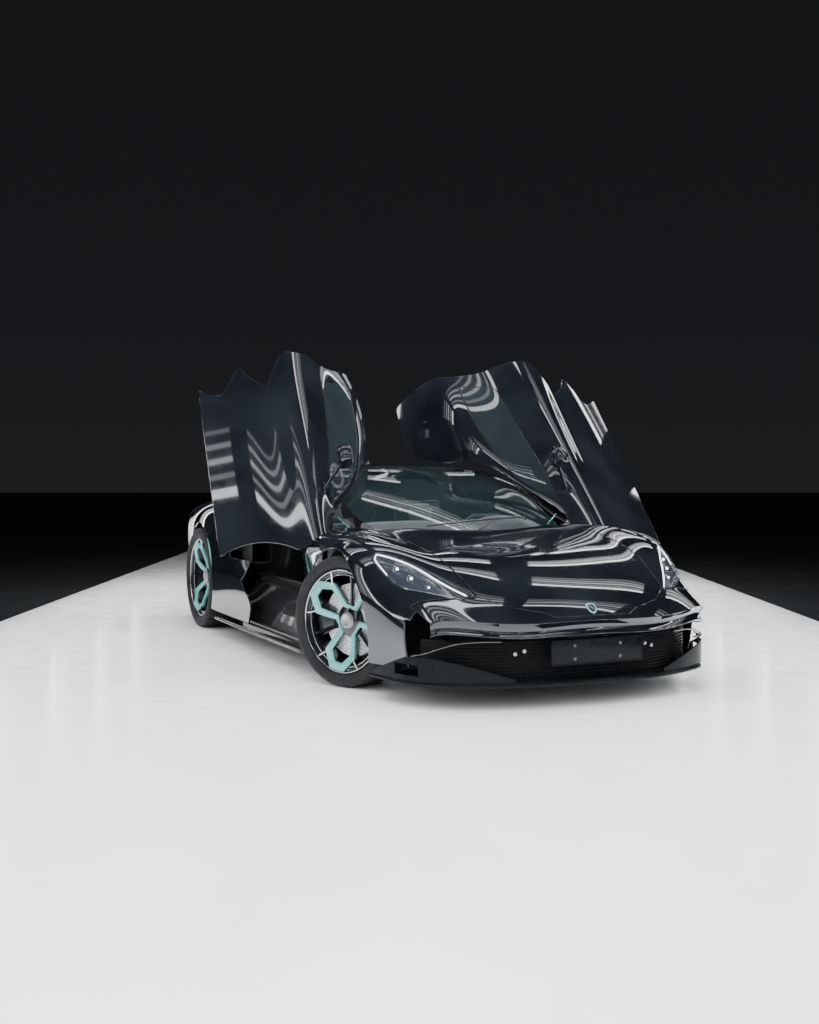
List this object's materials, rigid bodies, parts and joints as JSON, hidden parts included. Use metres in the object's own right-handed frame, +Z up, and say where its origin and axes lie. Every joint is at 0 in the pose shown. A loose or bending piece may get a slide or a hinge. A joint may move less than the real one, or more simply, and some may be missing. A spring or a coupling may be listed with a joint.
{
  "type": "two-seat hypercar",
  "caption": "Low two-seat sports car with butterfly doors held open, front wheels steered, opening rear lid, glazed cabin, seats, brakes and underbody.",
  "frame": {"origin": "on the floor under the middle of the body's length and width", "axes": "+Z up, -Y the way the car drives, +X the car's left side"},
  "size_m": [2.9302, 4.75, 1.8875],
  "materials": {
    "bare_alloy": "satin",
    "battery_case": "satin",
    "body_paint": "gloss",
    "cabin_hide": "satin",
    "carbon_black": "gloss",
    "cast_grey": "matte",
    "glass_clear": "gloss",
    "glass_dark": "gloss",
    "lamp_lens": "gloss",
    "mirror_case": "gloss",
    "plate_black": "satin",
    "rim_black": "satin",
    "seat_hide": "satin",
    "tail_lens": "gloss",
    "trim_black": "satin",
    "tyre": "matte"
  },
  "bodies": {
    "body": {"bonnet": "body_paint", "fender_left": "body_paint", "fender_right": "body_paint", "windscreen": "glass_clear", "pillars": "carbon_black", "roof": "body_paint", "quarter_left": "body_paint", "quarter_right": "body_paint", "nose": "body_paint", "splitter": "carbon_black", "front_intake": "trim_black", "number_plate": "plate_black", "headlights": "lamp_lens", "headlight_bowls": "trim_black", "nostril_blades": "carbon_black", "splitter_fins": "carbon_black", "door_hinges": "cast_grey", "tub": "carbon_black", "underfloor": "trim_black", "side_skirts": "carbon_black", "battery": "battery_case", "drive_motors": "bare_alloy", "arch_liners": "trim_black", "rear_bumper": "body_paint", "tail_light": "tail_lens", "diffuser": "carbon_black", "rear_wing": "carbon_black", "seats": "seat_hide", "dashboard": "cabin_hide", "centre_console": "cabin_hide", "steering_wheel": "cabin_hide", "front_suspension": "cast_grey", "rear_suspension": "cast_grey"},
    "door_left": {"door_left": "body_paint", "door_glass_left": "glass_clear", "door_mirror_left": "mirror_case", "door_hinge_arm_left": "cast_grey"},
    "door_right": {"door_right": "body_paint", "door_glass_right": "glass_clear", "door_mirror_right": "mirror_case", "door_hinge_arm_right": "cast_grey"},
    "rear_lid": {"rear_lid": "body_paint", "rear_window": "glass_dark"},
    "knuckle_left": {"knuckle_left": "cast_grey"},
    "knuckle_right": {"knuckle_right": "cast_grey"},
    "wheel_front_left": {"rim_front_left": "rim_black", "tyre_front_left": "tyre"},
    "wheel_front_right": {"rim_front_right": "rim_black", "tyre_front_right": "tyre"},
    "wheel_rear_left": {"rim_rear_left": "rim_black", "tyre_rear_left": "tyre"},
    "wheel_rear_right": {"rim_rear_right": "rim_black", "tyre_rear_right": "tyre"}
  },
  "joints": [
    {"name": "steer_left", "type": "hinge", "parent": "body", "child": "knuckle_left", "pos_m": [0.817, -1.3, 0.35], "axis": [0, 0, 1], "range_deg": [-57.1, 6.9]},
    {"name": "steer_right", "type": "hinge", "parent": "body", "child": "knuckle_right", "pos_m": [-0.817, -1.3, 0.35], "axis": [0, 0, 1], "range_deg": [-57.1, 6.9]},
    {"name": "spin_front_left", "type": "hinge", "parent": "knuckle_left", "child": "wheel_front_left", "pos_m": [0.84417, -1.28727, 0.35], "axis": [0.9056, 0.4242, 0], "continuous": true},
    {"name": "spin_front_right", "type": "hinge", "parent": "knuckle_right", "child": "wheel_front_right", "pos_m": [-0.84417, -1.31273, 0.35], "axis": [0.9056, 0.4242, 0], "continuous": true},
    {"name": "spin_rear_left", "type": "hinge", "parent": "body", "child": "wheel_rear_left", "pos_m": [0.843, 1.445, 0.364], "axis": [1, 0, 0], "continuous": true},
    {"name": "spin_rear_right", "type": "hinge", "parent": "body", "child": "wheel_rear_right", "pos_m": [-0.843, 1.445, 0.364], "axis": [1, 0, 0], "continuous": true},
    {"name": "door_left_swing", "type": "hinge", "parent": "body", "child": "door_left", "pos_m": [0.805, -0.795, 0.797], "axis": [0.535, -0.769, -0.35], "range_deg": [-89.4, 0]},
    {"name": "door_right_swing", "type": "hinge", "parent": "body", "child": "door_right", "pos_m": [-0.805, -0.795, 0.797], "axis": [0.535, 0.769, 0.35], "range_deg": [-89.4, 0]},
    {"name": "rear_lid_hinge", "type": "hinge", "parent": "body", "child": "rear_lid", "pos_m": [0, 0.653, 1.196], "axis": [1, 0, 0], "range_deg": [0, 48]}
  ],
  "couplings": [
    {"joint": "steer_right", "follows": "steer_left", "ratio": 1}
  ]
}
